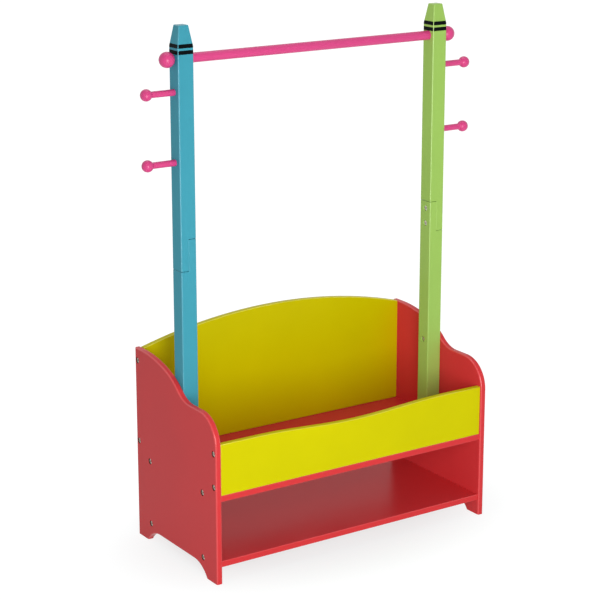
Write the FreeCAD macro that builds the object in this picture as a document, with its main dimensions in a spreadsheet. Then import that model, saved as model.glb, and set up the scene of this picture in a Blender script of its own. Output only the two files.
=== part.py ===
import FreeCAD, Part
import math
import os
import re
import Sketcher

# Driving dimensions of the rack, in millimetres. The upper shelf hangs below the side panels' crest by
# the storage box's depth, and the box's boards and the posts stand on it. Drops are from the crest for
# the shoulder and the post's upper bolt, and from the post's top for the rail and the pegs.
SIZES = {
    # Side panels: outline with a flat crest at the back, a brow, a cove, a shoulder and a round nose
    "rack_width": 620,
    "panel_depth": 294,
    "panel_height": 379,
    "panel_thickness": 12,
    "panel_round": 3,
    "crest_flat": 22,
    "crest_radius": 270,
    "brow_start": 115,
    "brow_radius": 140,
    "cove_radius": 60,
    "shoulder_drop": 59.5,
    "nose_radius": 58,
    "foot_length": 38,
    "arch_height": 23.5,
    "arch_radius": 55,
    # Boards between the side panels
    "board_thickness": 12,
    "board_setback": 3,
    "board_round": 1.5,
    "lower_shelf_height": 31,
    "box_depth": 209,
    "front_height": 98,
    "back_rise": 41,
    # Posts, each in two pieces with a half-lap joint
    "post_width": 32,
    "post_setback": 1.5,
    "post_round": 2,
    "post_lower_height": 389,
    "lap_length": 60,
    "lap_gap": 0.8,
    "lap_round": 0.5,
    "post_upper_height": 349,
    "tip_height": 37,
    "tip_width": 20,
    "tip_round": 1.5,
    # Rail and its end balls
    "rail_drop": 60,
    "rail_diameter": 18,
    "rail_socket_depth": 6,
    "ball_diameter": 29,
    "ball_seat_diameter": 10,
    # Coat pegs
    "upper_peg_drop": 119,
    "lower_peg_drop": 246,
    "peg_diameter": 12,
    "peg_reach": 56.5,
    "peg_ball_diameter": 22,
    "peg_neck_round": 2,
    # Bolts, barrel nuts, dowels, studs and inserts
    "bolt_diameter": 6,
    "bolt_head_diameter": 11,
    "bolt_head_height": 3.5,
    "bolt_head_bevel": 0.6,
    "bolt_recess": 2,
    "bolt_socket_width": 4,
    "bolt_socket_depth": 2.5,
    "panel_bolt_reach": 34,
    "shelf_bolt_inset": 47,
    "front_bolt_inset": 17,
    "back_bolt_inset": 24,
    "nut_diameter": 10,
    "nut_length": 10,
    "nut_inset": 28,
    "nut_slot_width": 1.5,
    "nut_slot_depth": 1.2,
    "dowel_diameter": 6,
    "dowel_panel_depth": 8,
    "dowel_board_depth": 20,
    "stud_diameter": 6,
    "ball_stud_depth": 16,
    "rail_stud_depth": 24,
    "peg_stud_depth": 20,
    "post_stud_depth": 18,
    "insert_diameter": 9,
    "insert_length": 9,
    "lap_bolt_spacing": 30,
    "post_bolt_low": 25,
    "post_bolt_drop": 44,
    # Room round a pin in its hole, round a bolt in its hole, and at the end of a blind hole
    "pin_clearance": 0.15,
    "bolt_clearance": 0.4,
    "end_clearance": 0.5,
}

# Formulas of those sizes that several pieces share
BOARD_LENGTH = "(rack_width - 2 * panel_thickness)"
SHELF_DEPTH = "(panel_depth - 2 * board_setback)"
SHELF_TOP = "(panel_height - box_depth)"
UPPER_SHELF_HEIGHT = f"({SHELF_TOP} - board_thickness)"
POST_BOLT_HIGH = "(box_depth - post_bolt_drop)"
FRONT_MIDDLE = "(board_setback + board_thickness / 2 - panel_depth / 2)"
BACK_MIDDLE = "(panel_depth / 2 - board_setback - board_thickness / 2)"
HEAD_POCKET = "(bolt_head_height + bolt_recess)"
POST_FACE = "(rack_width / 2 - panel_thickness)"
UPPER_POST_LENGTH = "(lap_length + post_upper_height + tip_height)"
RAIL_HEIGHT = f"({UPPER_POST_LENGTH} - rail_drop)"
RAIL_LENGTH = f"({BOARD_LENGTH} - 2 * post_width + 2 * rail_socket_depth)"

doc = FreeCAD.newDocument("kids_clothing_rack")
sheet = doc.addObject("Spreadsheet::Sheet", "Sizes")
for row, (alias, length) in enumerate(SIZES.items(), start=1):
    sheet.set(f"A{row}", alias)
    sheet.set(f"B{row}", str(length))
    sheet.setAlias(f"B{row}", alias)
doc.recompute()

nodes = []


def bound(formula):
    """The formula with each size read from the sheet."""
    return re.sub(r"[a-z_]+", lambda word: f"Sizes.{word[0]}" if word[0] in SIZES else word[0], formula)


def bind(thing, **formulas):
    """Ties properties of an object to formulas of sizes."""
    for name, formula in formulas.items():
        thing.setExpression(name, bound(formula))


def place(thing, x, y, z):
    """Ties an object's position to formulas of sizes."""
    for axis, formula in zip("xyz", (x, y, z)):
        thing.setExpression(f"Placement.Base.{axis}", bound(formula))


def turn(thing, axis, degrees):
    """Turns an object about an axis through its own origin."""
    thing.Placement.Rotation = FreeCAD.Rotation(axis, degrees)


def new_body(label, x, y, z):
    """A piece of the rack, cut from one blank, with its own frame at a place on the rack."""
    body = doc.addObject("PartDesign::Body", label)
    body.Label = label
    place(body, x, y, z)
    nodes.append(body)
    return body


def new_sketch(body, name, role, lift="0"):
    """A sketch on one of the piece's own planes, lifted along that plane's normal."""
    sketch = body.newObject("Sketcher::SketchObject", f"{body.Name}_{name}")
    support = next(item for item in body.Origin.OriginFeatures if item.Role == role)
    sketch.AttachmentSupport = [(support, "")]
    sketch.MapMode = "FlatFace"
    sketch.setExpression("AttachmentOffset.Base.z", bound(lift))
    return sketch


def measure(sketch, kind, ends, formula, start=None):
    """A dimension of a sketch, tied to a formula of sizes."""
    start = SIZES[formula] if start is None else start
    index = sketch.addConstraint(Sketcher.Constraint(kind, *ends, start))
    sketch.setExpression(f"Constraints[{index}]", bound(formula))


def line(sketch, start, end):
    """A straight stretch of a sketch, from one (u, v) point to another."""
    return sketch.addGeometry(Part.LineSegment(FreeCAD.Vector(*start), FreeCAD.Vector(*end)))


def arc(sketch, centre, radius, first, last):
    """A round stretch of a sketch, counterclockwise between two angles in radians."""
    circle = Part.Circle(FreeCAD.Vector(*centre), FreeCAD.Vector(0, 0, 1), radius)
    return sketch.addGeometry(Part.ArcOfCircle(circle, first, last))


def rectangle(sketch, left, bottom, width, height):
    """A rectangle from its lower left corner, all given as formulas."""
    corners = [(0, 0), (1, 0), (1, 1), (0, 1)]
    sides = [line(sketch, corners[i], corners[(i + 1) % 4]) for i in range(4)]
    for i in range(4):
        sketch.addConstraint(Sketcher.Constraint("Coincident", sides[i], 2, sides[(i + 1) % 4], 1))
        sketch.addConstraint(Sketcher.Constraint("Vertical" if i % 2 else "Horizontal", sides[i]))
    measure(sketch, "DistanceX", (-1, 1, sides[0], 1), left, 0)
    measure(sketch, "DistanceY", (-1, 1, sides[0], 1), bottom, 0)
    measure(sketch, "DistanceX", (sides[0], 1, sides[0], 2), width, 1)
    measure(sketch, "DistanceY", (sides[1], 1, sides[1], 2), height, 1)


def pad(body, name, sketch, length, reverse=False):
    """Material carried from a sketch along its normal."""
    feature = body.newObject("PartDesign::Pad", f"{body.Name}_{name}")
    feature.Profile = sketch
    feature.Reversed = reverse
    bind(feature, Length=length)
    return feature


def drill(body, name, role, lift, places, diameter, depth, along):
    """Round holes at (u, v) places of a plane; along says whether they run with its normal."""
    doc.recompute()
    solid_before = body.Shape.Volume
    sketch = new_sketch(body, f"{name}_sketch", role, lift)
    for u, v in places:
        unit_circle = Part.Circle(FreeCAD.Vector(0, 0, 0), FreeCAD.Vector(0, 0, 1), 1)
        hole = sketch.addGeometry(unit_circle)
        measure(sketch, "DistanceX", (-1, 1, hole, 3), u, 0)
        measure(sketch, "DistanceY", (-1, 1, hole, 3), v, 0)
        measure(sketch, "Diameter", (hole,), diameter, 1)
    pocket = body.newObject("PartDesign::Pocket", f"{body.Name}_{name}")
    pocket.Profile = sketch
    pocket.Reversed = along
    bind(pocket, Length=depth)
    doc.recompute()
    if body.Shape.Volume >= solid_before:
        raise RuntimeError(f"{body.Label}: {name} cut nothing")


def round_edges(body, name, radius, chosen):
    """Rounds the piece's edges for which chosen(edge) is true."""
    doc.recompute()
    base = body.Tip
    edges = [f"Edge{i}" for i, edge in enumerate(base.Shape.Edges, start=1) if chosen(edge)]
    feature = body.newObject("PartDesign::Fillet", f"{body.Name}_{name}")
    feature.Base = (base, edges)
    bind(feature, Radius=radius)


def spin(body, sketch):
    """The solid of revolution of a sketch about its horizontal axis."""
    feature = body.newObject("PartDesign::Revolution", f"{body.Name}_turning")
    feature.Profile = sketch
    feature.ReferenceAxis = (sketch, ["H_Axis"])


def runs_along(edge, axis):
    """Whether a straight edge runs along the axis numbered 0, 1 or 2."""
    if not isinstance(edge.Curve, Part.Line):
        return False
    return abs(abs(edge.Curve.Direction[axis]) - 1) < 1e-6


# Each board end has two bolts and a dowel between them. A joint holds the bolts' and the dowel's
# places on the side panel, as (y, z) formulas, and whether the board lies flat.
def shelf_joint(underside):
    """The joint of a shelf whose underside is at a height."""
    middle = f"({underside} + board_thickness / 2)"
    reach = f"({SHELF_DEPTH} / 2 - shelf_bolt_inset)"
    return {"bolts": [(f"-{reach}", middle), (reach, middle)], "dowel": ("0", middle), "flat": True}


def upright_joint(y, height, inset):
    """The joint of a board that stands on the upper shelf."""
    heights = [f"({SHELF_TOP} + {inset})", f"({SHELF_TOP} + {height} - {inset})"]
    dowel = (y, f"({SHELF_TOP} + {height} / 2)")
    return {"bolts": [(y, z) for z in heights], "dowel": dowel, "flat": False}


JOINTS = {
    "lower_shelf": shelf_joint("lower_shelf_height"),
    "upper_shelf": shelf_joint(UPPER_SHELF_HEIGHT),
    "front_panel": upright_joint(FRONT_MIDDLE, "front_height", "front_bolt_inset"),
    "back_panel": upright_joint(BACK_MIDDLE, "box_depth", "back_bolt_inset"),
}
PANEL_BOLTS = [bolt for joint in JOINTS.values() for bolt in joint["bolts"]]
PANEL_DOWELS = [joint["dowel"] for joint in JOINTS.values()]
POST_BOLTS = [("post_setback", f"({SHELF_TOP} + {height})") for height in ("post_bolt_low", POST_BOLT_HIGH)]


# Side panels
def panel_outline(sketch):
    """The side panel's outline, u towards the back and v up, from the back foot round to the front foot."""
    back = SIZES["panel_depth"] / 2
    top = SIZES["panel_height"]
    crest, brow, cove = SIZES["crest_radius"], SIZES["brow_radius"], SIZES["cove_radius"]
    shoulder, nose = top - SIZES["shoulder_drop"], SIZES["nose_radius"]
    foot, rise, arch = SIZES["foot_length"], SIZES["arch_height"], SIZES["arch_radius"]

    crest_start = back - SIZES["crest_flat"]
    crest_turn = math.asin((SIZES["brow_start"] - SIZES["crest_flat"]) / crest)
    crest_end = (crest_start - crest * math.sin(crest_turn), top - crest * (1 - math.cos(crest_turn)))
    brow_centre = (crest_end[0] + brow * math.sin(crest_turn), crest_end[1] - brow * math.cos(crest_turn))
    brow_turn = math.acos((shoulder + cove - brow_centre[1]) / (brow + cove))
    brow_end = (brow_centre[0] - brow * math.sin(brow_turn), brow_centre[1] + brow * math.cos(brow_turn))
    cove_centre = (brow_centre[0] - (brow + cove) * math.sin(brow_turn), shoulder + cove)
    arch_turn = math.acos((arch - rise) / arch)
    arch_end = back - foot - arch * math.sin(arch_turn)
    up = math.pi / 2

    rear = line(sketch, (back, 0), (back, top))
    crest_top = line(sketch, (back, top), (crest_start, top))
    crest_arc = arc(sketch, (crest_start, top - crest), crest, up, up + crest_turn)
    brow_arc = arc(sketch, brow_centre, brow, up + crest_turn, up + brow_turn)
    cove_arc = arc(sketch, cove_centre, cove, -up, -up + brow_turn)
    shelf = line(sketch, (cove_centre[0], shoulder), (nose - back, shoulder))
    nose_arc = arc(sketch, (nose - back, shoulder - nose), nose, up, 2 * up)
    front = line(sketch, (-back, shoulder - nose), (-back, 0))
    front_foot = line(sketch, (-back, 0), (foot - back, 0))
    front_arch = arc(sketch, (-arch_end, rise - arch), arch, up, up + arch_turn)
    arch_top = line(sketch, (-arch_end, rise), (arch_end, rise))
    back_arch = arc(sketch, (arch_end, rise - arch), arch, up - arch_turn, up)
    back_foot = line(sketch, (back - foot, 0), (back, 0))

    corners = [
        (rear, 2, crest_top, 1),
        (front, 2, front_foot, 1),
        (front_foot, 2, front_arch, 2),
        (back_arch, 1, back_foot, 1),
        (back_foot, 2, rear, 1),
    ]
    flowing = [
        (crest_top, 2, crest_arc, 1),
        (crest_arc, 2, brow_arc, 1),
        (brow_arc, 2, cove_arc, 2),
        (cove_arc, 1, shelf, 1),
        (shelf, 2, nose_arc, 1),
        (nose_arc, 2, front, 1),
        (front_arch, 1, arch_top, 1),
        (arch_top, 2, back_arch, 2),
    ]
    for ends in corners:
        sketch.addConstraint(Sketcher.Constraint("Coincident", *ends))
    for ends in flowing:
        sketch.addConstraint(Sketcher.Constraint("Tangent", *ends))
    for upright in (rear, front):
        sketch.addConstraint(Sketcher.Constraint("Vertical", upright))
    for level in (crest_top, shelf, front_foot, arch_top, back_foot):
        sketch.addConstraint(Sketcher.Constraint("Horizontal", level))
    sketch.addConstraint(Sketcher.Constraint("PointOnObject", front_foot, 1, -1))
    sketch.addConstraint(Sketcher.Constraint("PointOnObject", back_foot, 2, -1))
    sketch.addConstraint(Sketcher.Constraint("Equal", front_arch, back_arch))
    measure(sketch, "DistanceX", (-1, 1, back_foot, 2), "panel_depth / 2", back)
    measure(sketch, "DistanceX", (front_foot, 1, back_foot, 2), "panel_depth")
    measure(sketch, "DistanceY", (rear, 1, rear, 2), "panel_height")
    measure(sketch, "DistanceX", (crest_top, 2, crest_top, 1), "crest_flat")
    measure(sketch, "DistanceX", (crest_arc, 2, rear, 2), "brow_start")
    measure(sketch, "DistanceY", (shelf, 2, rear, 2), "shoulder_drop")
    measure(sketch, "DistanceX", (front_foot, 1, front_foot, 2), "foot_length")
    measure(sketch, "DistanceX", (back_foot, 1, back_foot, 2), "foot_length")
    measure(sketch, "DistanceY", (front_foot, 1, arch_top, 1), "arch_height")
    for curve, radius in [
        (crest_arc, "crest_radius"),
        (brow_arc, "brow_radius"),
        (cove_arc, "cove_radius"),
        (nose_arc, "nose_radius"),
        (front_arch, "arch_radius"),
    ]:
        measure(sketch, "Radius", (curve,), radius)


def is_panel_rim(edge):
    """Whether an edge goes round one of the panel's two faces, clear of the feet's soles."""
    return not runs_along(edge, 0) and edge.BoundBox.ZMax > SIZES["panel_round"]


def side_panel(label, side):
    """A side panel, its outer face on its own YZ plane; side is -1 on the left and 1 on the right."""
    inward = side < 0
    inner_face = "panel_thickness" if inward else "-panel_thickness"
    body = new_body(label, f"{side} * rack_width / 2", "0", "0")
    sketch = new_sketch(body, "outline", "YZ_Plane")
    panel_outline(sketch)
    pad(body, "board", sketch, "panel_thickness", reverse=not inward)
    round_edges(body, "rounding", "panel_round", is_panel_rim)
    head_hole = "bolt_head_diameter + 2 * bolt_clearance"
    shank_hole = "bolt_diameter + 2 * bolt_clearance"
    drill(body, "shank_holes", "YZ_Plane", "0", PANEL_BOLTS, shank_hole, "panel_thickness", inward)
    drill(body, "head_holes", "YZ_Plane", "0", PANEL_BOLTS, head_hole, HEAD_POCKET, inward)
    dowel_hole = "dowel_diameter + 2 * pin_clearance"
    dowel_depth = "dowel_panel_depth + end_clearance"
    drill(body, "dowel_holes", "YZ_Plane", inner_face, PANEL_DOWELS, dowel_hole, dowel_depth, not inward)
    insert_hole = "insert_diameter + 2 * pin_clearance"
    insert_depth = "insert_length + end_clearance"
    drill(body, "insert_holes", "YZ_Plane", inner_face, POST_BOLTS, insert_hole, insert_depth, not inward)


side_panel("side_panel_left", -1)
side_panel("side_panel_right", 1)


# Boards between the side panels. A board's own frame is at the middle of its length: a shelf's on its
# underside, an upright board's at the foot of its rear face.
def end_holes(body, joint, y_origin, z_origin):
    """Bolt and dowel bores in both ends of a board, at its joint's places seen from the board's frame."""
    def seen(spot):
        return (f"{spot[0]} - {y_origin}", f"{spot[1]} - {z_origin}")

    bolts = [seen(spot) for spot in joint["bolts"]]
    dowels = [seen(joint["dowel"])]
    end_x = f"{BOARD_LENGTH} / 2"
    for end, lift, along in (("left", f"-{end_x}", True), ("right", end_x, False)):
        bolt_hole = "bolt_diameter + 2 * bolt_clearance"
        bolt_depth = "panel_bolt_reach + nut_diameter / 2"
        drill(body, f"{end}_bolt_holes", "YZ_Plane", lift, bolts, bolt_hole, bolt_depth, along)
        dowel_hole = "dowel_diameter + 2 * pin_clearance"
        dowel_depth = "dowel_board_depth + end_clearance"
        drill(body, f"{end}_dowel_hole", "YZ_Plane", lift, dowels, dowel_hole, dowel_depth, along)


def nut_holes(body, role, spots):
    """Blind holes for the barrel nuts, from the board's hidden face, at distances along its width."""
    nut_x = f"({BOARD_LENGTH} / 2 - nut_inset)"
    places = [(f"{side} * {nut_x}", spot) for side in (-1, 1) for spot in spots]
    nut_hole = "nut_diameter + 2 * pin_clearance"
    nut_depth = "board_thickness / 2 + nut_length / 2 + end_clearance"
    drill(body, "nut_holes", role, "0", places, nut_hole, nut_depth, True)


def shelf(label, underside):
    """A shelf between the side panels, with rounded long edges and nut holes from below."""
    joint = JOINTS[label]
    body = new_body(label, "0", "0", underside)
    sketch = new_sketch(body, "outline", "XY_Plane")
    rectangle(sketch, f"-{BOARD_LENGTH} / 2", f"-{SHELF_DEPTH} / 2", BOARD_LENGTH, SHELF_DEPTH)
    pad(body, "board", sketch, "board_thickness")
    round_edges(body, "rounding", "board_round", lambda edge: runs_along(edge, 0))
    end_holes(body, joint, "0", underside)
    nut_holes(body, "XY_Plane", [bolt[0] for bolt in joint["bolts"]])


def upright(label, middle, draw, rounded):
    """A board that stands on the upper shelf between the side panels, with nut holes from behind.

    rounded(edge) is true for the edges that are rounded over.
    """
    joint = JOINTS[label]
    rear = f"({middle} + board_thickness / 2)"
    body = new_body(label, "0", rear, SHELF_TOP)
    sketch = new_sketch(body, "outline", "XZ_Plane")
    draw(sketch)
    pad(body, "board", sketch, "board_thickness")
    round_edges(body, "rounding", "board_round", rounded)
    end_holes(body, joint, rear, SHELF_TOP)
    nut_holes(body, "XZ_Plane", [f"{bolt[1]} - {SHELF_TOP}" for bolt in joint["bolts"]])


def is_end_to_end(edge):
    """Whether an edge goes along a board, from one side panel to the other."""
    return edge.BoundBox.XLength > edge.BoundBox.YLength


def is_face_edge(edge):
    """Whether an edge goes round one of an upright board's two faces."""
    return not runs_along(edge, 1)


def front_outline(sketch):
    """The low front board's face."""
    rectangle(sketch, f"-{BOARD_LENGTH} / 2", "0", BOARD_LENGTH, "front_height")


def back_outline(sketch):
    """The back board's face, a rectangle under a shallow arch that springs from its upper corners."""
    half = SIZES["rack_width"] / 2 - SIZES["panel_thickness"]
    side, rise = SIZES["box_depth"], SIZES["back_rise"]
    radius = (half**2 + rise**2) / (2 * rise)
    sweep = math.asin(half / radius)
    up = math.pi / 2
    foot = line(sketch, (-half, 0), (half, 0))
    right = line(sketch, (half, 0), (half, side))
    top = arc(sketch, (0, side + rise - radius), radius, up - sweep, up + sweep)
    left = line(sketch, (-half, side), (-half, 0))
    for ends in ((foot, 2, right, 1), (right, 2, top, 1), (top, 2, left, 1), (left, 2, foot, 1)):
        sketch.addConstraint(Sketcher.Constraint("Coincident", *ends))
    sketch.addConstraint(Sketcher.Constraint("Horizontal", foot))
    sketch.addConstraint(Sketcher.Constraint("Vertical", right))
    sketch.addConstraint(Sketcher.Constraint("Vertical", left))
    sketch.addConstraint(Sketcher.Constraint("PointOnObject", foot, 1, -1))
    measure(sketch, "DistanceX", (foot, 1, -1, 1), f"{BOARD_LENGTH} / 2", half)
    measure(sketch, "DistanceX", (foot, 1, foot, 2), BOARD_LENGTH, 2 * half)
    measure(sketch, "DistanceY", (right, 1, right, 2), "box_depth")
    measure(sketch, "DistanceY", (left, 2, left, 1), "box_depth")
    arch = f"({BOARD_LENGTH} ^ 2 / 4 + back_rise ^ 2) / (2 * back_rise)"
    measure(sketch, "Radius", (top,), arch, radius)


shelf("lower_shelf", "lower_shelf_height")
shelf("upper_shelf", UPPER_SHELF_HEIGHT)
upright("front_panel", FRONT_MIDDLE, front_outline, is_face_edge)
upright("back_panel", BACK_MIDDLE, back_outline, is_end_to_end)


# Posts. A post piece's own frame has x from the post's outer face inwards and z up from the piece's foot,
# so the right post is the left one turned half round.
SIDES = ("left", "right")
UP = FreeCAD.Vector(0, 0, 1)
ACROSS = FreeCAD.Vector(0, 1, 0)
ALONG = FreeCAD.Vector(1, 0, 0)
LAP_PLANE = "post_width / 2"
TONGUE_LENGTH = "(lap_length - lap_gap)"


def outward(side):
    """The sign of x on a side of the rack."""
    return -1 if side == "left" else 1


def half_turn(body, turned):
    """Turns a piece half round about its own upright axis where that is wanted."""
    if turned:
        turn(body, UP, 180)


def lap_bolt_places(lap_foot):
    """The two bolts of a half-lap whose lower shoulder is at a height of the piece."""
    middle = f"{lap_foot} + lap_length / 2"
    return [("0", f"{middle} - lap_bolt_spacing / 2"), ("0", f"{middle} + lap_bolt_spacing / 2")]


def post_section(body, name, foot, start, width, length):
    """A stretch of a post's square section, or of half of it, from a height upwards."""
    sketch = new_sketch(body, f"{name}_section", "XY_Plane", foot)
    rectangle(sketch, start, "-post_width / 2", width, "post_width")
    return pad(body, name, sketch, length)


def is_post_corner(edge):
    """Whether an edge is one of the post's long outer corners, and not in the lap's plane."""
    middle = edge.BoundBox.Center
    lap_plane = SIZES["post_width"] / 2
    return edge.BoundBox.ZLength > edge.BoundBox.XLength and abs(middle.x - lap_plane) > SIZES["post_round"]


def is_lap_arris(edge, shoulder, tongue_end):
    """Whether an edge of the half-lap shows on the post's faces, given two heights of the piece.

    These are the tongue's two long edges, and the edges of the shoulder and of the tongue's end on the
    post's outer faces.
    """
    middle = edge.BoundBox.Center
    in_lap_plane = abs(middle.x - SIZES["post_width"] / 2) < 1e-6
    if runs_along(edge, 2):
        return in_lap_plane
    at_lap_end = min(abs(middle.z - shoulder), abs(middle.z - tongue_end)) < 1e-6
    return at_lap_end and not (in_lap_plane and runs_along(edge, 1))


def post_lower(side):
    """The lower half of a post: a full foot, and the lap's tongue on the inner side."""
    body = new_body(f"{side}_post_lower", f"{outward(side)} * {POST_FACE}", "post_setback", SHELF_TOP)
    half_turn(body, side == "right")
    post_section(body, "shaft", "0", "0", "post_width", "post_lower_height")
    post_section(body, "tongue", "post_lower_height", LAP_PLANE, "post_width / 2", TONGUE_LENGTH)
    round_edges(body, "rounding", "post_round", is_post_corner)
    shoulder = SIZES["post_lower_height"]
    tongue_end = shoulder + SIZES["lap_length"] - SIZES["lap_gap"]
    round_edges(body, "lap_rounding", "lap_round", lambda edge: is_lap_arris(edge, shoulder, tongue_end))
    bolts = [("0", "post_bolt_low"), ("0", POST_BOLT_HIGH), *lap_bolt_places("post_lower_height")]
    shank_hole = "bolt_diameter + 2 * bolt_clearance"
    head_hole = "bolt_head_diameter + 2 * bolt_clearance"
    drill(body, "shank_holes", "YZ_Plane", "post_width", bolts, shank_hole, "post_width", False)
    drill(body, "head_holes", "YZ_Plane", "post_width", bolts, head_hole, HEAD_POCKET, False)


def post_upper(side):
    """The upper half of a post: the lap's tongue on the outer side, the shaft and the tapered tip."""
    foot = f"{SHELF_TOP} + post_lower_height"
    body = new_body(f"{side}_post_upper", f"{outward(side)} * {POST_FACE}", "post_setback", foot)
    half_turn(body, side == "right")
    post_section(body, "tongue", "lap_gap", "0", LAP_PLANE, TONGUE_LENGTH)
    post_section(body, "shaft", "lap_length", "0", "post_width", "post_upper_height")
    tip = post_section(body, "tip", "lap_length + post_upper_height", "0", "post_width", "tip_height")
    bind(tip, TaperAngle="-atan((post_width - tip_width) / 2 / tip_height)")
    round_edges(body, "rounding", "post_round", is_post_corner)
    shoulder, tongue_end = SIZES["lap_length"], SIZES["lap_gap"]
    round_edges(body, "lap_rounding", "lap_round", lambda edge: is_lap_arris(edge, shoulder, tongue_end))
    tip_top = shoulder + SIZES["post_upper_height"] + SIZES["tip_height"]
    round_edges(body, "tip_rounding", "tip_round", lambda edge: abs(edge.BoundBox.ZMin - tip_top) < 1e-6)
    insert_hole = "insert_diameter + 2 * pin_clearance"
    insert_depth = "insert_length + end_clearance"
    inserts = lap_bolt_places("0")
    drill(body, "insert_holes", "YZ_Plane", LAP_PLANE, inserts, insert_hole, insert_depth, False)
    pegs = [("0", f"{UPPER_POST_LENGTH} - {drop}") for drop in ("upper_peg_drop", "lower_peg_drop")]
    peg_hole = "stud_diameter + 2 * pin_clearance"
    peg_depth = "post_stud_depth + end_clearance"
    drill(body, "peg_holes", "YZ_Plane", "0", pegs, peg_hole, peg_depth, True)
    rail = [("0", RAIL_HEIGHT)]
    stud_hole = "stud_diameter + 2 * bolt_clearance"
    drill(body, "stud_hole", "YZ_Plane", "0", rail, stud_hole, "post_width", True)
    socket = "rail_diameter + 2 * pin_clearance"
    drill(body, "rail_socket", "YZ_Plane", "post_width", rail, socket, "rail_socket_depth", False)


for post_side in SIDES:
    post_lower(post_side)
    post_upper(post_side)


# Rail, its end balls and the coat pegs
RAIL_LEVEL = f"({SHELF_TOP} + post_lower_height + {RAIL_HEIGHT})"


def clothes_rail():
    """The round rail between the posts, bored at both ends for the studs."""
    body = new_body("clothes_rail", "0", "post_setback", RAIL_LEVEL)
    sketch = new_sketch(body, "section", "YZ_Plane", f"-{RAIL_LENGTH} / 2")
    unit_circle = Part.Circle(FreeCAD.Vector(0, 0, 0), FreeCAD.Vector(0, 0, 1), 1)
    section = sketch.addGeometry(unit_circle)
    sketch.addConstraint(Sketcher.Constraint("Coincident", section, 3, -1, 1))
    measure(sketch, "Diameter", (section,), "rail_diameter", 1)
    pad(body, "bar", sketch, RAIL_LENGTH)
    bore = "stud_diameter + 2 * pin_clearance"
    depth = "rail_stud_depth + end_clearance"
    end_x = f"{RAIL_LENGTH} / 2"
    for end, lift, along in (("left", f"-{end_x}", True), ("right", end_x, False)):
        drill(body, f"{end}_bore", "YZ_Plane", lift, [("0", "0")], bore, depth, along)


def turned_piece(label, side, level, seat, ball, stem, bore_depth):
    """A turned wooden piece on a post's outer face: an optional stem and a ball, bored for its stud.

    Its own frame has x from the post's face outwards along the axis. The profile goes from the bore's
    mouth up the seat, along the stem to the ball, round the ball to the axis and back up the bore.
    stem is the formula of the distance from the seat to the ball's centre, with its present value.
    """
    body = new_body(label, f"{outward(side)} * {POST_FACE}", "post_setback", level)
    half_turn(body, side == "left")
    sketch = new_sketch(body, "profile", "XZ_Plane")
    stem_formula, centre = stem
    seat_radius = SIZES[seat] / 2
    ball_radius = SIZES[ball] / 2
    bore_radius = SIZES["stud_diameter"] / 2 + SIZES["pin_clearance"]
    bore_end = SIZES[bore_depth] + SIZES["end_clearance"]
    ball_start = math.asin(seat_radius / ball_radius)
    neck = centre - ball_radius * math.cos(ball_start)
    far = centre + ball_radius
    has_neck = neck > SIZES["pin_clearance"]

    face = line(sketch, (0, bore_radius), (0, seat_radius))
    crown = arc(sketch, (centre, 0), ball_radius, 0, math.pi - ball_start)
    axis = line(sketch, (far, 0), (bore_end, 0))
    bottom = line(sketch, (bore_end, 0), (bore_end, bore_radius))
    bore = line(sketch, (bore_end, bore_radius), (0, bore_radius))
    joins = [(crown, 1, axis, 1), (axis, 2, bottom, 1), (bottom, 2, bore, 1), (bore, 2, face, 1)]
    if has_neck:
        stem_side = line(sketch, (0, seat_radius), (neck, seat_radius))
        sketch.addConstraint(Sketcher.Constraint("Horizontal", stem_side))
        joins += [(face, 2, stem_side, 1), (stem_side, 2, crown, 2)]
    else:
        joins.append((face, 2, crown, 2))
    for ends in joins:
        sketch.addConstraint(Sketcher.Constraint("Coincident", *ends))
    sketch.addConstraint(Sketcher.Constraint("Vertical", face))
    sketch.addConstraint(Sketcher.Constraint("Horizontal", axis))
    sketch.addConstraint(Sketcher.Constraint("Vertical", bottom))
    sketch.addConstraint(Sketcher.Constraint("Horizontal", bore))
    sketch.addConstraint(Sketcher.Constraint("PointOnObject", crown, 3, -1))
    sketch.addConstraint(Sketcher.Constraint("PointOnObject", axis, 1, -1))
    sketch.addConstraint(Sketcher.Constraint("PointOnObject", face, 1, -2))
    measure(sketch, "Radius", (crown,), f"{ball} / 2", ball_radius)
    measure(sketch, "DistanceY", (-1, 1, face, 2), f"{seat} / 2", seat_radius)
    measure(sketch, "DistanceY", (-1, 1, face, 1), "stud_diameter / 2 + pin_clearance", bore_radius)
    measure(sketch, "DistanceX", (-1, 1, bottom, 1), f"{bore_depth} + end_clearance", bore_end)
    if has_neck:
        measure(sketch, "DistanceX", (-1, 1, crown, 3), stem_formula, centre)
    spin(body, sketch)
    return body


def rail_ball(side):
    """A ball at the end of the rail, with a flat seat against the post."""
    seat, ball = SIZES["ball_seat_diameter"], SIZES["ball_diameter"]
    stem = ("0", math.sqrt(ball**2 - seat**2) / 2)
    label = f"rail_ball_{side}"
    turned_piece(label, side, RAIL_LEVEL, "ball_seat_diameter", "ball_diameter", stem, "ball_stud_depth")


def coat_peg(side, name):
    """A coat peg with a ball end and a small cove where the stem meets the ball."""
    level = f"({SHELF_TOP} + post_lower_height + {UPPER_POST_LENGTH} - {name}_peg_drop)"
    stem = ("peg_reach", SIZES["peg_reach"])
    label = f"peg_{side}_{name}"
    body = turned_piece(label, side, level, "peg_diameter", "peg_ball_diameter", stem, "peg_stud_depth")
    stem_radius = SIZES["peg_diameter"] / 2
    mid_stem = SIZES["peg_reach"] / 2

    def is_neck(edge):
        if edge.Degenerated or not isinstance(edge.Curve, Part.Circle):
            return False
        return abs(edge.Curve.Radius - stem_radius) < 1e-6 and edge.Curve.Center.x > mid_stem

    round_edges(body, "neck", "peg_neck_round", is_neck)


clothes_rail()
for ball_side in SIDES:
    rail_ball(ball_side)
for peg_side in SIDES:
    for peg_name in ("upper", "lower"):
        coat_peg(peg_side, peg_name)


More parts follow.
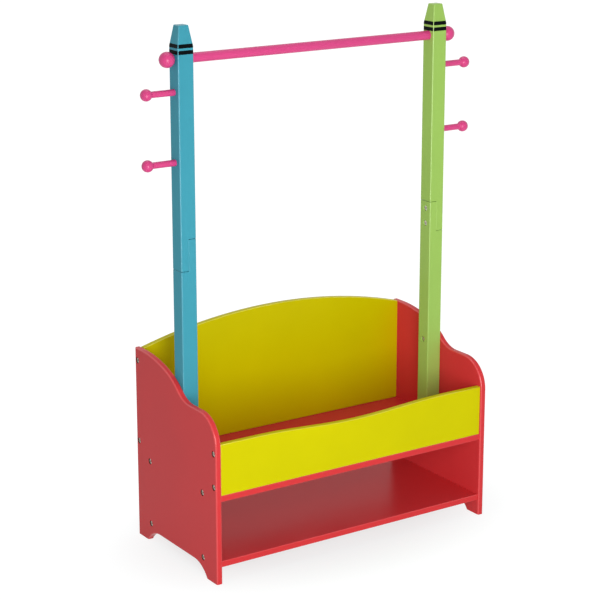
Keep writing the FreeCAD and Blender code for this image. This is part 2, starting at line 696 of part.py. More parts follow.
# Fasteners. Like ones share a node, as a group of separate solids.
def group(label, pieces):
    """One node that holds several like pieces."""
    compound = doc.addObject("Part::Compound", label)
    compound.Label = label
    compound.Links = pieces
    nodes.append(compound)


def cylinder(name, diameter, length, foot="0"):
    """A round bar along its own z, from a height."""
    bar = doc.addObject("Part::Cylinder", name)
    bind(bar, Radius=f"({diameter}) / 2", Height=length)
    place(bar, "0", "0", foot)
    return bar


def cut(name, base, tool):
    """What is left of one solid without another."""
    result = doc.addObject("Part::Cut", name)
    result.Base = base
    result.Tool = tool
    return result


def bolt(name, length, head_side, x, y, z):
    """A socket-head bolt along x whose head's underside is at a place; head_side is -1 or 1."""
    wall = "(bolt_head_height - bolt_head_bevel)"
    head = cylinder(f"{name}_head", "bolt_head_diameter", wall)
    crown = doc.addObject("Part::Cone", f"{name}_crown")
    rim = "bolt_head_diameter / 2"
    bind(crown, Radius1=rim, Radius2=f"{rim} - bolt_head_bevel", Height="bolt_head_bevel")
    place(crown, "0", "0", wall)
    shank = cylinder(f"{name}_shank", "bolt_diameter", f"{length} + {wall}", f"-({length})")
    whole = doc.addObject("Part::MultiFuse", f"{name}_blank")
    whole.Shapes = [head, crown, shank]
    socket = doc.addObject("Part::Prism", f"{name}_socket")
    socket.Polygon = 6
    bind(socket, Circumradius="bolt_socket_width / sqrt(3)", Height="bolt_socket_depth")
    place(socket, "0", "0", "bolt_head_height - bolt_socket_depth")
    finished = cut(name, whole, socket)
    turn(finished, ACROSS, 90 * head_side)
    place(finished, x, y, z)
    return finished


def crosswise_bar(name, diameter, length, x, y, z):
    """A round bar along the rack's x that starts at a place."""
    bar = cylinder(name, diameter, length)
    turn(bar, ACROSS, 90)
    place(bar, x, y, z)
    return bar


def threaded_insert(name, sign, x, y, z):
    """An insert nut along x whose mouth is at a place and whose closed end points outwards."""
    outer = cylinder(f"{name}_outer", "insert_diameter", "insert_length")
    bore = cylinder(f"{name}_bore", "bolt_diameter + 2 * pin_clearance", "insert_length")
    finished = cut(name, outer, bore)
    turn(finished, ACROSS, 90 * sign)
    place(finished, x, y, z)
    return finished


def barrel_nut(name, flat, x, y, z):
    """A barrel nut centred at a place, its slotted end down in a shelf and rearwards in an upright."""
    barrel = cylinder(f"{name}_barrel", "nut_diameter", "nut_length", "-nut_length / 2")
    bore = cylinder(f"{name}_bore", "bolt_diameter + 2 * pin_clearance", "nut_diameter")
    turn(bore, ACROSS, 90)
    place(bore, "-nut_diameter / 2", "0", "0")
    slot = doc.addObject("Part::Box", f"{name}_slot")
    bind(slot, Length="nut_diameter", Width="nut_slot_width", Height="nut_slot_depth")
    place(slot, "-nut_diameter / 2", "-nut_slot_width / 2", "-nut_length / 2")
    finished = cut(name, cut(f"{name}_bored", barrel, bore), slot)
    if not flat:
        turn(finished, ALONG, 90)
    place(finished, x, y, z)
    return finished


def board_fasteners(side):
    """The bolts, barrel nuts and dowels between one side panel and the four boards."""
    sign = outward(side)
    head_seat = f"{sign} * (rack_width / 2 - {HEAD_POCKET})"
    length = f"panel_thickness - {HEAD_POCKET} + panel_bolt_reach"
    nut_x = f"{sign} * ({BOARD_LENGTH} / 2 - nut_inset)"
    dowel_x = f"{sign} * {BOARD_LENGTH} / 2 - " + ("dowel_panel_depth" if sign < 0 else "dowel_board_depth")
    dowel_length = "dowel_panel_depth + dowel_board_depth"
    bolts, nuts, dowels = [], [], []
    for board, joint in JOINTS.items():
        for end, (y, z) in zip(("first", "second"), joint["bolts"]):
            name = f"{side}_{board}_{end}"
            bolts.append(bolt(f"{name}_bolt", length, sign, head_seat, y, z))
            nuts.append(barrel_nut(f"{name}_nut", joint["flat"], nut_x, y, z))
        name = f"{side}_{board}_dowel"
        dowels.append(crosswise_bar(name, "dowel_diameter", dowel_length, dowel_x, *joint["dowel"]))
    group(f"panel_bolts_{side}", bolts)
    group(f"barrel_nuts_{side}", nuts)
    group(f"board_dowels_{side}", dowels)


def post_fasteners(side):
    """The bolts and inserts of a post's half-lap, and those that hold the post to the side panel."""
    sign = outward(side)
    head_seat = f"{sign} * ({POST_FACE} - post_width + {HEAD_POCKET})"
    lap_foot = f"({SHELF_TOP} + post_lower_height)"
    lap_places = [("post_setback", z) for _, z in lap_bolt_places(lap_foot)]
    through = f"post_width - {HEAD_POCKET} + insert_length"
    half_through = f"post_width / 2 - {HEAD_POCKET} + insert_length"
    lap_mouth = f"{sign} * ({POST_FACE} - post_width / 2)"
    panel_mouth = f"{sign} * {POST_FACE}"
    for use, places, length, mouth in (
        ("lap", lap_places, half_through, lap_mouth),
        ("post", POST_BOLTS, through, panel_mouth),
    ):
        bolts, inserts = [], []
        for end, (y, z) in zip(("low", "high"), places):
            name = f"{side}_{use}_{end}"
            bolts.append(bolt(f"{name}_bolt", length, -sign, head_seat, y, z))
            inserts.append(threaded_insert(f"{name}_insert", sign, mouth, y, z))
        group(f"{use}_bolts_{side}", bolts)
        group(f"{use}_inserts_{side}", inserts)


def studs():
    """The studs of the rail's balls and of the pegs, from each turned piece into or through its post."""
    rail_studs, peg_studs = [], []
    ball_length = "ball_stud_depth + post_width - rail_socket_depth + rail_stud_depth"
    peg_length = "peg_stud_depth + post_stud_depth"
    for side in SIDES:
        sign = outward(side)
        ball_start = "ball_stud_depth" if sign < 0 else f"({ball_length} - ball_stud_depth)"
        stud_x = f"{sign} * {POST_FACE} - {ball_start}"
        spot = (stud_x, "post_setback", RAIL_LEVEL)
        rail_studs.append(crosswise_bar(f"{side}_rail_stud", "stud_diameter", ball_length, *spot))
        peg_x = f"{sign} * {POST_FACE} - " + ("peg_stud_depth" if sign < 0 else "post_stud_depth")
        for drop in ("upper_peg_drop", "lower_peg_drop"):
            z = f"{SHELF_TOP} + post_lower_height + {UPPER_POST_LENGTH} - {drop}"
            spot = (peg_x, "post_setback", z)
            peg_studs.append(crosswise_bar(f"{side}_{drop}_stud", "stud_diameter", peg_length, *spot))
    group("rail_studs", rail_studs)
    group("peg_studs", peg_studs)


for fastener_side in SIDES:
    board_fasteners(fastener_side)
    post_fasteners(fastener_side)
studs()

# Every feature has to be sound before anything is written
doc.recompute()
for thing in doc.Objects:
    if "Invalid" in thing.State or "Error" in thing.State:
        raise RuntimeError(f"{thing.Label}: {thing.State}")
for node in nodes:
    if node.Shape.isNull() or not node.Shape.isValid():
        raise RuntimeError(f"{node.Label}: its shape is not sound")

os.makedirs("parts", exist_ok=True)
for node in nodes:
    node.Shape.exportStep(f"parts/{node.Label}.step")
    box = node.Shape.BoundBox
    low = f"{box.XMin:.1f} {box.YMin:.1f} {box.ZMin:.1f}"
    high = f"{box.XMax:.1f} {box.YMax:.1f} {box.ZMax:.1f}"
    print(f"{node.Label}: {len(node.Shape.Solids)} solids, {low} to {high}")
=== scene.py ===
import bmesh
import bpy
import math
import numpy as np
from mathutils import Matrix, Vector


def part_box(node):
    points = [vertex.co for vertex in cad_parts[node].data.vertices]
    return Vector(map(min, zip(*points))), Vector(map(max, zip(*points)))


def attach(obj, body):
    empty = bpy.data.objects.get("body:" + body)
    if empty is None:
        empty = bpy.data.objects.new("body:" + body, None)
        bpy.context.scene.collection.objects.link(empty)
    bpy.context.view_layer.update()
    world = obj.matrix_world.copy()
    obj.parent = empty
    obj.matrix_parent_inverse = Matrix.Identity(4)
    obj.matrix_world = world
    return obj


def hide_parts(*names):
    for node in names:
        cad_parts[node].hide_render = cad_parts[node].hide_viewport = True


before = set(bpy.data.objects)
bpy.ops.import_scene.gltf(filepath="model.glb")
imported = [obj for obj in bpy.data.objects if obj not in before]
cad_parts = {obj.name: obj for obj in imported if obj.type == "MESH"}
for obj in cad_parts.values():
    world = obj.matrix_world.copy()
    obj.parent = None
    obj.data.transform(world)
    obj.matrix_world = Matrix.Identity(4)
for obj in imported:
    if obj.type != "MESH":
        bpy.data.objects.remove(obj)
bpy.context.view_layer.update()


# Side panels: two boards of medium-density fibreboard with a scalloped top and an arched foot, sawn to
# shape, rounded over along the rim and sprayed with red satin paint. Every other board is bolted
# between them from outside.
RED = (0.68, 0.042, 0.047)
RED_GLOSS = 0.24
RED_SHEEN = 0.09
RIM_GLOSS = 0.3
RIM_SHEEN = 0.7
CROSSWISE, LENGTHWISE, UPRIGHT = range(3)


def add_node(tree, kind, settings=None, **inputs):
    """Adds a shader node; an input is a value, or another node's output to be wired to it."""
    node = tree.nodes.new(kind)
    for name, value in (settings or {}).items():
        setattr(node, name, value)
    for name, value in inputs.items():
        socket = node.inputs[int(name[1:])] if name[1:].isdigit() else node.inputs[name.replace("_", " ")]
        if isinstance(value, bpy.types.NodeSocket):
            tree.links.new(value, socket)
        else:
            socket.default_value = value
    return node


def combine(tree, operation, first, second):
    """The output of a math node, such as a sum or a product, on two values or outputs."""
    return add_node(tree, "ShaderNodeMath", {"operation": operation}, i0=first, i1=second).outputs[0]


def blend(tree, share, first, second):
    """The output of a colour mix, from first at share 0 to second at share 1."""
    node = add_node(tree, "ShaderNodeMix", {"data_type": "RGBA"}, Factor=share, i6=first, i7=second)
    return node.outputs[2]


def rescale(tree, value, low, high, to_low, to_high):
    """The output of a range node that carries low to high over to to_low to to_high."""
    node = add_node(tree, "ShaderNodeMapRange", i0=value, i1=low, i2=high, i3=to_low, i4=to_high)
    return node.outputs["Result"]


def new_material(name):
    """A node material with its tree, its principled shader and its coordinates."""
    material = bpy.data.materials.new(name)
    material.use_nodes = True
    tree = material.node_tree
    return material, tree, tree.nodes["Principled BSDF"], tree.nodes.new("ShaderNodeTexCoord")


def shade(colour, factor):
    """A paint colour made lighter or darker, as the four numbers a colour socket takes."""
    return (*[min(1.0, channel * factor) for channel in colour], 1.0)


def satin_paint(name, colour, gloss, sheen, edge_highlight_axis=None, grain_axis=None, grain_relief=0.12):
    """Sprayed satin paint on sanded wood.

    Colour and gloss drift by a few percent over the width of a spray pass, and the film has a fine
    orange peel. On a rounded edge the colour is made lighter, a painted highlight, and the film is
    glossier: with s the share of the normal along edge_highlight_axis, the edge is where s^2 (1 - s^2) is
    large, a quarter of the squared sine of twice the angle to that axis. Along grain_axis the wood's grain
    shows through as ridges, whose strength is grain_relief.
    """
    material, tree, shader, coordinates = new_material(name)
    where = coordinates.outputs["Object"]
    passes = add_node(tree, "ShaderNodeTexNoise", Vector=where, Scale=7.0, Detail=3.0)
    drift = passes.outputs["Fac"]
    film = blend(tree, drift, shade(colour, 0.94), shade(colour, 1.06))
    dull = rescale(tree, drift, 0.3, 0.7, gloss - 0.03, gloss + 0.03)
    shader.inputs["Specular IOR Level"].default_value = sheen
    if edge_highlight_axis is not None:
        axes = add_node(tree, "ShaderNodeSeparateXYZ", Vector=coordinates.outputs["Normal"])
        along = axes.outputs[edge_highlight_axis]
        squared = combine(tree, "MULTIPLY", along, along)
        edge = combine(tree, "MULTIPLY", squared, combine(tree, "SUBTRACT", 1.0, squared))
        # Painted highlight: the colour is made lighter on rounded edges.
        film = blend(tree, rescale(tree, edge, 0.02, 0.25, 0.0, 0.6), film, shade(colour, 1.1))
        dull = combine(tree, "MINIMUM", dull, rescale(tree, edge, 0.02, 0.12, 1.0, RIM_GLOSS))
        rim_sheen = rescale(tree, edge, 0.02, 0.12, sheen, RIM_SHEEN)
        tree.links.new(rim_sheen, shader.inputs["Specular IOR Level"])
    tree.links.new(film, shader.inputs["Base Color"])
    tree.links.new(dull, shader.inputs["Roughness"])

    peel = add_node(tree, "ShaderNodeTexNoise", Vector=where, Scale=700.0, Detail=2.0)
    bump = add_node(tree, "ShaderNodeBump", Height=peel.outputs["Fac"], Strength=0.08, Distance=0.0003)
    if grain_axis is not None:
        stretch = [260.0] * 3
        stretch[grain_axis] = 9.0
        laid = add_node(tree, "ShaderNodeMapping", Vector=where, Scale=stretch)
        ridges = add_node(tree, "ShaderNodeTexNoise", Vector=laid.outputs["Vector"], Scale=1.0, Detail=4.0)
        bump = add_node(
            tree,
            "ShaderNodeBump",
            Height=ridges.outputs["Fac"],
            Strength=grain_relief,
            Distance=0.0004,
            Normal=bump.outputs["Normal"],
        )
    tree.links.new(bump.outputs["Normal"], shader.inputs["Normal"])
    return material


def finish_nodes(material, *names):
    """Gives CAD nodes one material."""
    for name in names:
        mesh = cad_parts[name].data
        mesh.materials.clear()
        mesh.materials.append(material)


panel_paint = satin_paint("red_panel_paint", RED, RED_GLOSS, RED_SHEEN, edge_highlight_axis=CROSSWISE)
finish_nodes(panel_paint, "side_panel_left", "side_panel_right")


# Shelves: two red boards of the same fibreboard, bolted and dowelled between the side panels. The lower
# one is open at the front and the back, the upper one is the floor of the storage box.
SHELF_SHEEN = 0.05
shelf_paint = satin_paint("red_shelf_paint", RED, RED_GLOSS, SHELF_SHEEN, edge_highlight_axis=UPRIGHT)
finish_nodes(shelf_paint, "lower_shelf", "upper_shelf")


# Front and back boards: fibreboard in yellow satin paint. They stand on the upper shelf, bolted between
# the side panels, and close the storage box. The back one has an arched top.
YELLOW = (0.627, 0.563, 0.0)
YELLOW_GLOSS = 0.3
YELLOW_SHEEN = 0.05
box_paint = satin_paint("yellow_box_paint", YELLOW, YELLOW_GLOSS, YELLOW_SHEEN, edge_highlight_axis=LENGTHWISE)
finish_nodes(box_paint, "front_panel", "back_panel")

# The front board's top edge is scooped out between two level ends. Its CAD node has a straight edge, so a
# bent copy stands for it.
SCOOP_DEPTH = 0.0088
SCOOP_HALF = 0.215
SCOOP_STEPS = 87
SCOOP_FOOT = 0.02
TOP_ROUND = 0.0015
WELD_REACH = 0.000001


def scooped_board(name, node_name):
    """A copy of a board's node with its top edge bent down.

    At the share t of the scoop's half length from the middle, the edge sinks by DEPTH cos^2(pi t / 2). Cuts
    across the board give the edge its points. From the rounded top down to SCOOP_FOOT above the board's
    underside the bend fades in proportion to the height, so that the faces stay flat and in order.
    """
    low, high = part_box(node_name)
    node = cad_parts[node_name]
    mesh = node.data.copy()
    mesh.name = name
    mesh.transform(node.matrix_world)
    board = bmesh.new()
    board.from_mesh(mesh)
    bmesh.ops.remove_doubles(board, verts=list(board.verts), dist=WELD_REACH)
    for x in np.linspace(-SCOOP_HALF, SCOOP_HALF, SCOOP_STEPS):
        everything = [*board.verts, *board.edges, *board.faces]
        bmesh.ops.bisect_plane(board, geom=everything, plane_co=(x, 0.0, 0.0), plane_no=(1.0, 0.0, 0.0))
    foot, top = low.z + SCOOP_FOOT, high.z - TOP_ROUND
    for vertex in board.verts:
        t = abs(vertex.co.x) / SCOOP_HALF
        share = min(1.0, max(0.0, (vertex.co.z - foot) / (top - foot)))
        if t < 1.0:
            vertex.co.z -= share * SCOOP_DEPTH * math.cos(math.pi / 2 * t) ** 2
    board.to_mesh(mesh)
    board.free()
    piece = bpy.data.objects.new(name, mesh)
    bpy.context.scene.collection.objects.link(piece)
    return piece


front_board = scooped_board("front_board", "front_panel")
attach(front_board, "root")
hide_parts("front_panel")


# Posts: square bars of beech in two halves with a half-lap joint, planed to a crayon's tip and painted,
# blue on the left and green on the right. They are bolted to the side panels, and the grain shows
# faintly through the paint.
BLUE = (0.058, 0.338, 0.438)
GREEN = (0.36, 0.57, 0.12)
POST_GLOSS = 0.26
POST_SHEEN = 0.06
for colour_name, side, colour in (("blue", "left", BLUE), ("green", "right", GREEN)):
    post_paint = satin_paint(
        f"{colour_name}_post_paint", colour, POST_GLOSS, POST_SHEEN, edge_highlight_axis=CROSSWISE, grain_axis=UPRIGHT
    )
    finish_nodes(post_paint, f"{side}_post_lower", f"{side}_post_upper")


# Bands: two stripes of black ink round each post at the foot of its tip, one patch on each face. A patch
# bends over the rounded corners and stops short of their middle, so a fine line of paint shows there.
BAND_HEIGHT = 0.0072
BAND_GAP = 0.0040
BAND_TOP_DROP = 0.0326
BAND_MARGIN = 0.0007
INK_THICKNESS = 0.0003
INK_SQUARENESS = 8
PROFILE_STEPS = 13
STRIPE_STEPS = 81
POST_ROUND = 0.002
TIP_HEIGHT = 0.037
TIP_HALF = 0.010


def ink_patch(axis, half, out, top):
    """A stripe of ink on one face of a post, as a grid of closed profiles along the stripe.

    A profile point has the height v from -1 to 1 and the depth w = +-(1 - v^n)^(1/n) through the ink, with
    n the squareness. The post's half width there is h, less on the tip, and its corners have the radius r.
    The stripe runs over u from -1 to 1 times h - r + r pi / 4 - margin. Up to e = h - r it lies on the flat
    face, and beyond it turns by the angle t = (u - e) / r: across = e + (r + w) sin t, outwards =
    e + (r + w) cos t.
    """
    v = np.linspace(-1.0, 1.0, PROFILE_STEPS)
    depth = (1.0 - v**INK_SQUARENESS) ** (1 / INK_SQUARENESS)
    profile_v = np.concatenate([v, v[-2:0:-1]])
    profile_w = np.concatenate([depth, -depth[-2:0:-1]]) * INK_THICKNESS / 2
    run, v = np.meshgrid(np.linspace(-1.0, 1.0, STRIPE_STEPS), profile_v, indexing="ij")
    w = np.broadcast_to(profile_w, run.shape)
    z = top - BAND_HEIGHT / 2 + v * BAND_HEIGHT / 2
    taper = (half - TIP_HALF) / TIP_HEIGHT * np.maximum(0.0, z - (axis[2] - TIP_HEIGHT))
    edge = half - taper - POST_ROUND
    u = run * (edge + POST_ROUND * math.pi / 4 - BAND_MARGIN)
    turn = np.maximum(0.0, np.abs(u) - edge) / POST_ROUND
    sideways = np.sign(u) * (np.minimum(np.abs(u), edge) + (POST_ROUND + w) * np.sin(turn))
    outwards = edge + (POST_ROUND + w) * np.cos(turn)
    across = np.array([-out[1], out[0]])
    flat = axis[:2] + sideways[..., None] * across + outwards[..., None] * np.array(out)
    grid = np.concatenate([flat, z[..., None]], axis=-1)
    ends = grid[[0, -1]].mean(axis=1, keepdims=True).repeat(grid.shape[1], axis=1)
    return np.concatenate([ends[:1], grid, ends[1:]])


def closed_piece(name, grids):
    """One object of closed shells; each grid's rows go round a shell, its first and last row are poles."""
    points, faces = [], []
    start = 0
    for grid in grids:
        rows, columns = grid.shape[0] - 2, grid.shape[1]
        ring = start + np.arange(rows * columns).reshape(rows, columns)
        beside = np.roll(ring, -1, axis=1)
        first_pole = np.full(columns, start + rows * columns)
        quads = np.stack([ring[:-1], beside[:-1], beside[1:], ring[1:]], axis=-1).reshape(-1, 4)
        first_fan = np.stack([beside[0], ring[0], first_pole], axis=-1)
        last_fan = np.stack([ring[-1], beside[-1], first_pole + 1], axis=-1)
        points += [grid[1:-1].reshape(-1, 3), grid[0, :1], grid[-1, :1]]
        faces += quads.tolist() + first_fan.tolist() + last_fan.tolist()
        start += rows * columns + 2
    mesh = bpy.data.meshes.new(name)
    mesh.from_pydata(np.concatenate(points).tolist(), [], faces)
    piece = bpy.data.objects.new(name, mesh)
    bpy.context.scene.collection.objects.link(piece)
    return piece


def black_ink():
    """Printed black ink: slightly uneven, with a soft gloss."""
    material, tree, shader, coordinates = new_material("black_ink")
    where = coordinates.outputs["Object"]
    mottle = add_node(tree, "ShaderNodeTexNoise", Vector=where, Scale=350.0, Detail=3.0)
    uneven = mottle.outputs["Fac"]
    tone = blend(tree, uneven, (0.002, 0.003, 0.0035, 1.0), (0.006, 0.008, 0.009, 1.0))
    tree.links.new(tone, shader.inputs["Base Color"])
    tree.links.new(rescale(tree, uneven, 0.3, 0.7, 0.3, 0.42), shader.inputs["Roughness"])
    shader.inputs["Specular IOR Level"].default_value = 0.02
    return material


ink = black_ink()
for side, slot in (("left", "blue_post"), ("right", "green_post")):
    low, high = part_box(f"{side}_post_upper")
    axis = np.array([(low.x + high.x) / 2, (low.y + high.y) / 2, high.z])
    half = (high.x - low.x) / 2
    first_top = high.z - BAND_TOP_DROP
    tops = (first_top, first_top - BAND_HEIGHT - BAND_GAP)
    directions = ((1.0, 0.0), (-1.0, 0.0), (0.0, 1.0), (0.0, -1.0))
    patches = [ink_patch(axis, half, out, top) for out in directions for top in tops]
    bands = closed_piece(f"{side}_post_bands", patches)
    bands.data.materials.append(ink)
    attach(bands, "root")


# Rail, end balls and coat pegs: turned beech, dipped in pink lacquer. The balls are screwed on the rail's
# studs outside the posts, the pegs on studs of their own.
PINK = (0.715, 0.054, 0.228)
PINK_GLOSS = 0.27
PINK_SHEEN = 0.35
PINK_RELIEF = 0.05
lacquer = satin_paint(
    "pink_lacquer", PINK, PINK_GLOSS, PINK_SHEEN, grain_axis=CROSSWISE, grain_relief=PINK_RELIEF
)
finish_nodes(lacquer, "clothes_rail", "rail_ball_left", "rail_ball_right")
finish_nodes(lacquer, "peg_left_upper", "peg_left_lower", "peg_right_upper", "peg_right_lower")


# Bolts, barrel nuts, inserts and studs: turned or pressed steel, plated with zinc. The bolts' heads lie
# below the panels' and posts' faces, and the slotted barrel nuts in the boards take their threads.
def zinc_plate():
    """Zinc plating with a faint yellow cast and a cloudy, slightly scuffed surface."""
    material, tree, shader, coordinates = new_material("zinc_plate")
    where = coordinates.outputs["Object"]
    cloud = add_node(tree, "ShaderNodeTexNoise", Vector=where, Scale=420.0, Detail=4.0).outputs["Fac"]
    tone = blend(tree, cloud, (0.52, 0.49, 0.44, 1.0), (0.68, 0.64, 0.57, 1.0))
    tree.links.new(tone, shader.inputs["Base Color"])
    tree.links.new(rescale(tree, cloud, 0.3, 0.7, 0.4, 0.55), shader.inputs["Roughness"])
    shader.inputs["Metallic"].default_value = 1.0
    scuffs = add_node(tree, "ShaderNodeTexNoise", Vector=where, Scale=1600.0, Detail=2.0)
    bump = add_node(tree, "ShaderNodeBump", Height=scuffs.outputs["Fac"], Strength=0.1, Distance=0.0002)
    tree.links.new(bump.outputs["Normal"], shader.inputs["Normal"])
    return material


zinc = zinc_plate()
for side in ("left", "right"):
    for kind in ("panel_bolts", "barrel_nuts", "lap_bolts", "lap_inserts", "post_bolts", "post_inserts"):
        finish_nodes(zinc, f"{kind}_{side}")
finish_nodes(zinc, "rail_studs", "peg_studs")


# Recess walls: a thin dark brown sheet round each bolt's head in the side panels' counterbores, standing
# for the bare wall of the recess. Its very dark brown is partly the fibreboard's own colour and partly
# painted shade.
RECESS_RADIUS = 0.0058
RECESS_WALL = 0.00008
RECESS_DEPTH = 0.0054
PAINT_EDGE = 0.0003
WALL_STEPS = 24
ROUND_STEPS = 48
FRONT_BOLT_HEIGHTS = (0.017, 0.081)
BACK_BOLT_HEIGHTS = (0.024, 0.185)
SHELF_BOLT_REACH = 0.097


def bolt_spots():
    """The places, depth and height, of a panel's eight bolts in the middle of the boards that they hold."""
    spots = []
    for board, heights in (("front_panel", FRONT_BOLT_HEIGHTS), ("back_panel", BACK_BOLT_HEIGHTS)):
        low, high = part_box(board)
        spots += [((low.y + high.y) / 2, low.z + height) for height in heights]
    for shelf in ("lower_shelf", "upper_shelf"):
        low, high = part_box(shelf)
        spots += [(depth, (low.z + high.z) / 2) for depth in (-SHELF_BOLT_REACH, SHELF_BOLT_REACH)]
    return spots


def recess_wall(face, inwards, spot):
    """A thin tube round a bolt's head, as a grid of the angle a round the bolt and b round the tube's wall.

    The wall's own section is a flat ellipse, so a point lies at the radius RADIUS + WALL cos b and at the
    depth from the paint's edge to the recess floor, (edge + floor) / 2 + (floor - edge) / 2 sin b.
    """
    round_bolt = 2 * math.pi * np.arange(ROUND_STEPS) / ROUND_STEPS
    round_wall = 2 * math.pi * np.arange(WALL_STEPS) / WALL_STEPS
    a, b = np.meshgrid(round_bolt, round_wall)
    radius = RECESS_RADIUS + RECESS_WALL * np.cos(b)
    depth = (PAINT_EDGE + RECESS_DEPTH) / 2 + (RECESS_DEPTH - PAINT_EDGE) / 2 * np.sin(b)
    places = (face + inwards * depth, spot[0] + radius * np.cos(a), spot[1] + radius * np.sin(a))
    return np.stack(places, axis=-1)


def ring_piece(name, grids):
    """One object of closed rings; each grid's rows and columns both go right round."""
    points = np.concatenate([grid.reshape(-1, 3) for grid in grids])
    corner = np.arange(len(points)).reshape(len(grids), *grids[0].shape[:2])
    beside = np.roll(corner, -1, axis=2)
    above = np.roll(corner, -1, axis=1)
    faces = np.stack([corner, beside, np.roll(beside, -1, axis=1), above], axis=-1).reshape(-1, 4)
    mesh = bpy.data.meshes.new(name)
    mesh.from_pydata(points.tolist(), [], faces.tolist())
    piece = bpy.data.objects.new(name, mesh)
    bpy.context.scene.collection.objects.link(piece)
    return piece


def shaded_bare_fibreboard():
    """Dark brown fibreboard, speckled with fine fibres; the dark brown is partly painted shade of the
    recess.
    """
    material, tree, shader, coordinates = new_material("shaded_bare_fibreboard")
    where = coordinates.outputs["Object"]
    fibres = add_node(tree, "ShaderNodeTexNoise", Vector=where, Scale=1500.0, Detail=3.0)
    # Very dark brown: bare fibreboard darkened with painted shade of the recess.
    tone = blend(tree, fibres.outputs["Fac"], (0.05, 0.018, 0.012, 1.0), (0.12, 0.05, 0.032, 1.0))
    tree.links.new(tone, shader.inputs["Base Color"])
    shader.inputs["Roughness"].default_value = 0.9
    shader.inputs["Specular IOR Level"].default_value = 0.05
    return material


fibreboard = shaded_bare_fibreboard()
for side, inwards in (("left", 1.0), ("right", -1.0)):
    low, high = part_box(f"side_panel_{side}")
    face = low.x if side == "left" else high.x
    walls = ring_piece(f"{side}_recess_walls", [recess_wall(face, inwards, spot) for spot in bolt_spots()])
    walls.data.materials.append(fibreboard)
    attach(walls, "root")


# Dowels: short beech pins, left bare. One between the two bolts of each board end keeps the board from
# turning while it is bolted.
def bare_beech():
    """Pale beech with short darker flecks along the dowel."""
    material, tree, shader, coordinates = new_material("bare_beech")
    where = coordinates.outputs["Object"]
    laid = add_node(tree, "ShaderNodeMapping", Vector=where, Scale=(90.0, 900.0, 900.0))
    flecks = add_node(tree, "ShaderNodeTexNoise", Vector=laid.outputs["Vector"], Scale=1.0, Detail=5.0)
    tone = blend(tree, flecks.outputs["Fac"], (0.42, 0.25, 0.13, 1.0), (0.62, 0.42, 0.25, 1.0))
    tree.links.new(tone, shader.inputs["Base Color"])
    shader.inputs["Roughness"].default_value = 0.6
    return material


finish_nodes(bare_beech(), "board_dowels_left", "board_dowels_right")


# Floor: a wide white sheet. It keeps the rack's soft shadow near the rack and shows as plain white
# further out. Its paper is tinted blue-green, painted against the red light that the rack bounces on it.
FLOOR_REACH = 12.0
# Blue-green paper tint, painted against the red light bounced from the rack.
FLOOR_PAPER_TINT = (0.75, 0.86, 0.86, 1.0)
SHOWN_WHITE = 1.08
NEAR_SHARE = 0.69
SHADOW_REACH = 0.21
WHITE_REACH = 0.62
DEPTH_STRETCH = 1.55


def shown_white(tree):
    """1 for what sees the white itself: the camera, and reflections and glass; 0 for light on the rack."""
    path = add_node(tree, "ShaderNodeLightPath")
    reflected = combine(tree, "MAXIMUM", path.outputs["Is Camera Ray"], path.outputs["Is Glossy Ray"])
    return combine(tree, "MAXIMUM", reflected, path.outputs["Is Transmission Ray"])


def floor_sheet():
    """A flat square of four points; its white grows with the distance from an oval round the rack."""
    corners = np.array([[-1, -1, 0], [1, -1, 0], [1, 1, 0], [-1, 1, 0]], float) * FLOOR_REACH
    mesh = bpy.data.meshes.new("floor")
    mesh.from_pydata(corners.tolist(), [], [(0, 1, 2, 3)])
    sheet = bpy.data.objects.new("floor", mesh)
    bpy.context.scene.collection.objects.link(sheet)
    material, tree, shader, coordinates = new_material("floor_white")
    tree.nodes.remove(shader)
    oval = add_node(
        tree, "ShaderNodeMapping", Vector=coordinates.outputs["Object"], Scale=(1.0, DEPTH_STRETCH, 1.0)
    )
    away = add_node(tree, "ShaderNodeVectorMath", {"operation": "LENGTH"}, i0=oval.outputs["Vector"])
    fade = add_node(
        tree,
        "ShaderNodeMapRange",
        {"interpolation_type": "SMOOTHSTEP"},
        i0=away.outputs["Value"],
        i1=SHADOW_REACH,
        i2=WHITE_REACH,
        i3=NEAR_SHARE,
        i4=1.0,
    )
    shown = combine(tree, "MULTIPLY", shown_white(tree), fade.outputs["Result"])
    paper = add_node(tree, "ShaderNodeBsdfDiffuse", Color=FLOOR_PAPER_TINT)
    white = add_node(tree, "ShaderNodeEmission", Strength=SHOWN_WHITE)
    both = add_node(tree, "ShaderNodeMixShader", i0=shown, i1=paper.outputs[0], i2=white.outputs[0])
    tree.links.new(both.outputs[0], tree.nodes["Material Output"].inputs["Surface"])
    mesh.materials.append(material)


floor_sheet()


# Studio: a white room that shines evenly, a softbox in front to the left, which also draws the
# highlights, and a weaker one above. The first is turned to the right, so that both posts are lit alike.
ROOM_LEVEL = 0.4


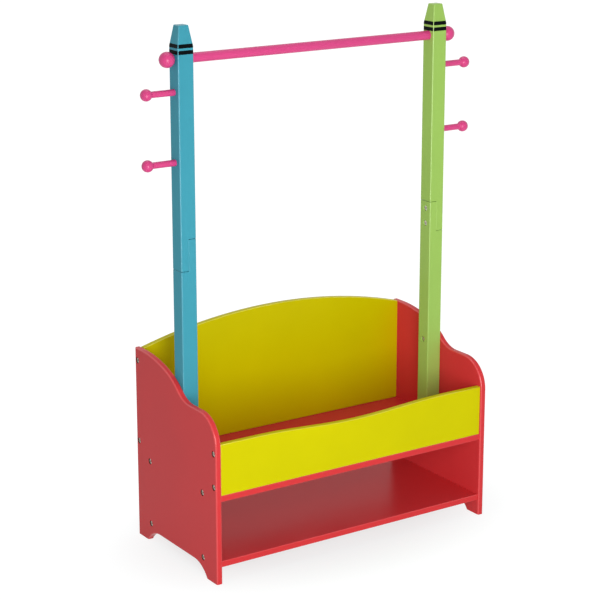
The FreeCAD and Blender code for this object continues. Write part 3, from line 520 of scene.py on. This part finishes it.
def studio_room():
    """The world: an even pale light, which the camera and reflections see as plain white."""
    world = bpy.data.worlds.new("studio_room")
    bpy.context.scene.world = world
    world.use_nodes = True
    tree = world.node_tree
    level = rescale(tree, shown_white(tree), 0.0, 1.0, ROOM_LEVEL, SHOWN_WHITE)
    tree.links.new(level, tree.nodes["Background"].inputs["Strength"])
    tree.nodes["Background"].inputs["Color"].default_value = (1.0, 1.0, 1.0, 1.0)


def softbox(name, place, aim, width, height, level):
    """An area lamp; level is the brightness that it alone gives a white sheet at its aim."""
    lamp = bpy.data.lights.new(name, "AREA")
    lamp.shape = "RECTANGLE"
    lamp.size = width
    lamp.size_y = height
    towards = Vector(aim) - Vector(place)
    lamp.energy = level * math.pi**2 * towards.length_squared
    holder = bpy.data.objects.new(name, lamp)
    holder.location = place
    holder.visible_camera = False
    holder.rotation_euler = towards.to_track_quat("-Z", "Y").to_euler()
    bpy.context.scene.collection.objects.link(holder)


studio_room()
softbox("key_softbox", place=(-0.85, -1.85, 0.7), aim=(1.2, -0.75, 0.5), width=1.0, height=1.2, level=0.65)
softbox("top_softbox", place=(0.1, 0.35, 2.6), aim=(0.0, 0.0, 0.3), width=1.4, height=1.4, level=0.16)


# Camera: at the photograph's angle, in front to the left and a little above the rack, on a long lens.
# The small shift leaves some white above the tips.
AZIMUTH = math.radians(-33.635)
ELEVATION = math.radians(14.839)
AIM = Vector((-0.03105, 0.0, 0.52297))
DISTANCE = 3.5838
FOCAL_LENGTH = 113.47
SENSOR_WIDTH = 36.0
SHIFT = -0.051
lens = bpy.data.cameras.new("camera")
lens.lens = FOCAL_LENGTH
lens.sensor_width = SENSOR_WIDTH
lens.shift_y = SHIFT
flat = math.cos(ELEVATION)
back = Vector((math.sin(AZIMUTH) * flat, -math.cos(AZIMUTH) * flat, math.sin(ELEVATION)))
camera = bpy.data.objects.new("camera", lens)
camera.location = AIM + DISTANCE * back
camera.rotation_euler = (-back).to_track_quat("-Z", "Y").to_euler()
bpy.context.scene.collection.objects.link(camera)
bpy.context.scene.camera = camera
bpy.context.scene.view_settings.view_transform = "Standard"
